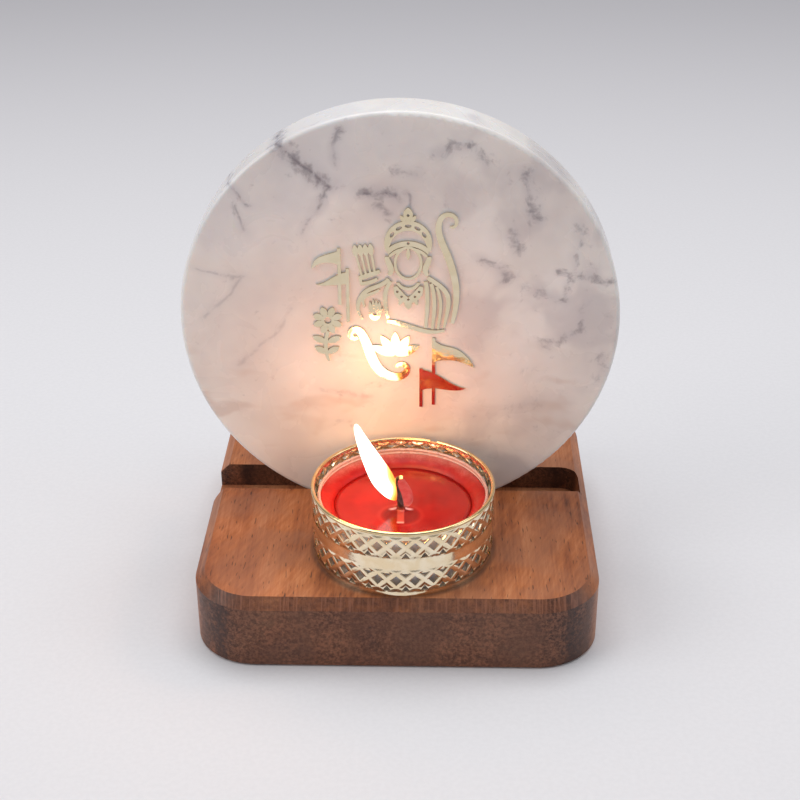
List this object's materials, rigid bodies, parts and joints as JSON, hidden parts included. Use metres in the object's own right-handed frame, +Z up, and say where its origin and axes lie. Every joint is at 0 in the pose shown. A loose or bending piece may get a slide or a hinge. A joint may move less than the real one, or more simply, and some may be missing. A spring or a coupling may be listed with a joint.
{
  "type": "plaque tealight stand",
  "caption": "Upright round marble plaque with gilt cut-out figure, standing in a slot across a hardwood block, with a tealight in a pierced gilt holder in front of it",
  "frame": {"origin": "the centre of the wooden block's underside, which the whole object rests on", "axes": "+Z is up, +Y is to the back, +X is to the right of someone facing the plaque's figure"},
  "size_m": [0.1, 0.09, 0.1113],
  "materials": {
    "hardwood": "oiled reddish-brown hardwood, satin",
    "marble": "white marble with grey veins, polished",
    "gilt_emblem": "mirror-polished gold tone",
    "gilt_band": "polished gold tone",
    "cup_metal": "thin drawn sheet",
    "wax": "solid red wax, soft sheen",
    "melted_wax": "liquid red wax, clear and glossy",
    "sustainer_metal": "tinned sheet",
    "wick": "charred cotton cord"
  },
  "bodies": {
    "base": {"wood_base": "hardwood"},
    "disc": {"marble_disc": "marble", "emblem_crown": "gilt_emblem", "emblem_face": "gilt_emblem", "emblem_necklace": "gilt_emblem", "emblem_shawl": "gilt_emblem", "emblem_hand": "gilt_emblem", "emblem_tail": "gilt_emblem", "emblem_quiver": "gilt_emblem", "emblem_pennants_left": "gilt_emblem", "emblem_pennants_right": "gilt_emblem", "emblem_lotus": "gilt_emblem", "emblem_scroll": "gilt_emblem"},
    "holder": {"holder_band": "gilt_band", "holder_rim": "gilt_band", "holder_floor": "gilt_band"},
    "candle": {"tealight_cup": "cup_metal", "candle_wax": "wax", "melt_pool": "melted_wax", "wick_sustainer": "sustainer_metal", "wick": "wick"}
  },
  "joints": [
    {"name": "disc_lift", "type": "slide", "parent": "base", "child": "disc", "axis": [0, 0, 1], "range_m": [0, 0.12]},
    {"name": "holder_lift", "type": "slide", "parent": "base", "child": "holder", "axis": [0, 0, 1], "range_m": [0, 0.12]},
    {"name": "candle_lift", "type": "slide", "parent": "holder", "child": "candle", "axis": [0, 0, 1], "range_m": [0, 0.12]}
  ]
}
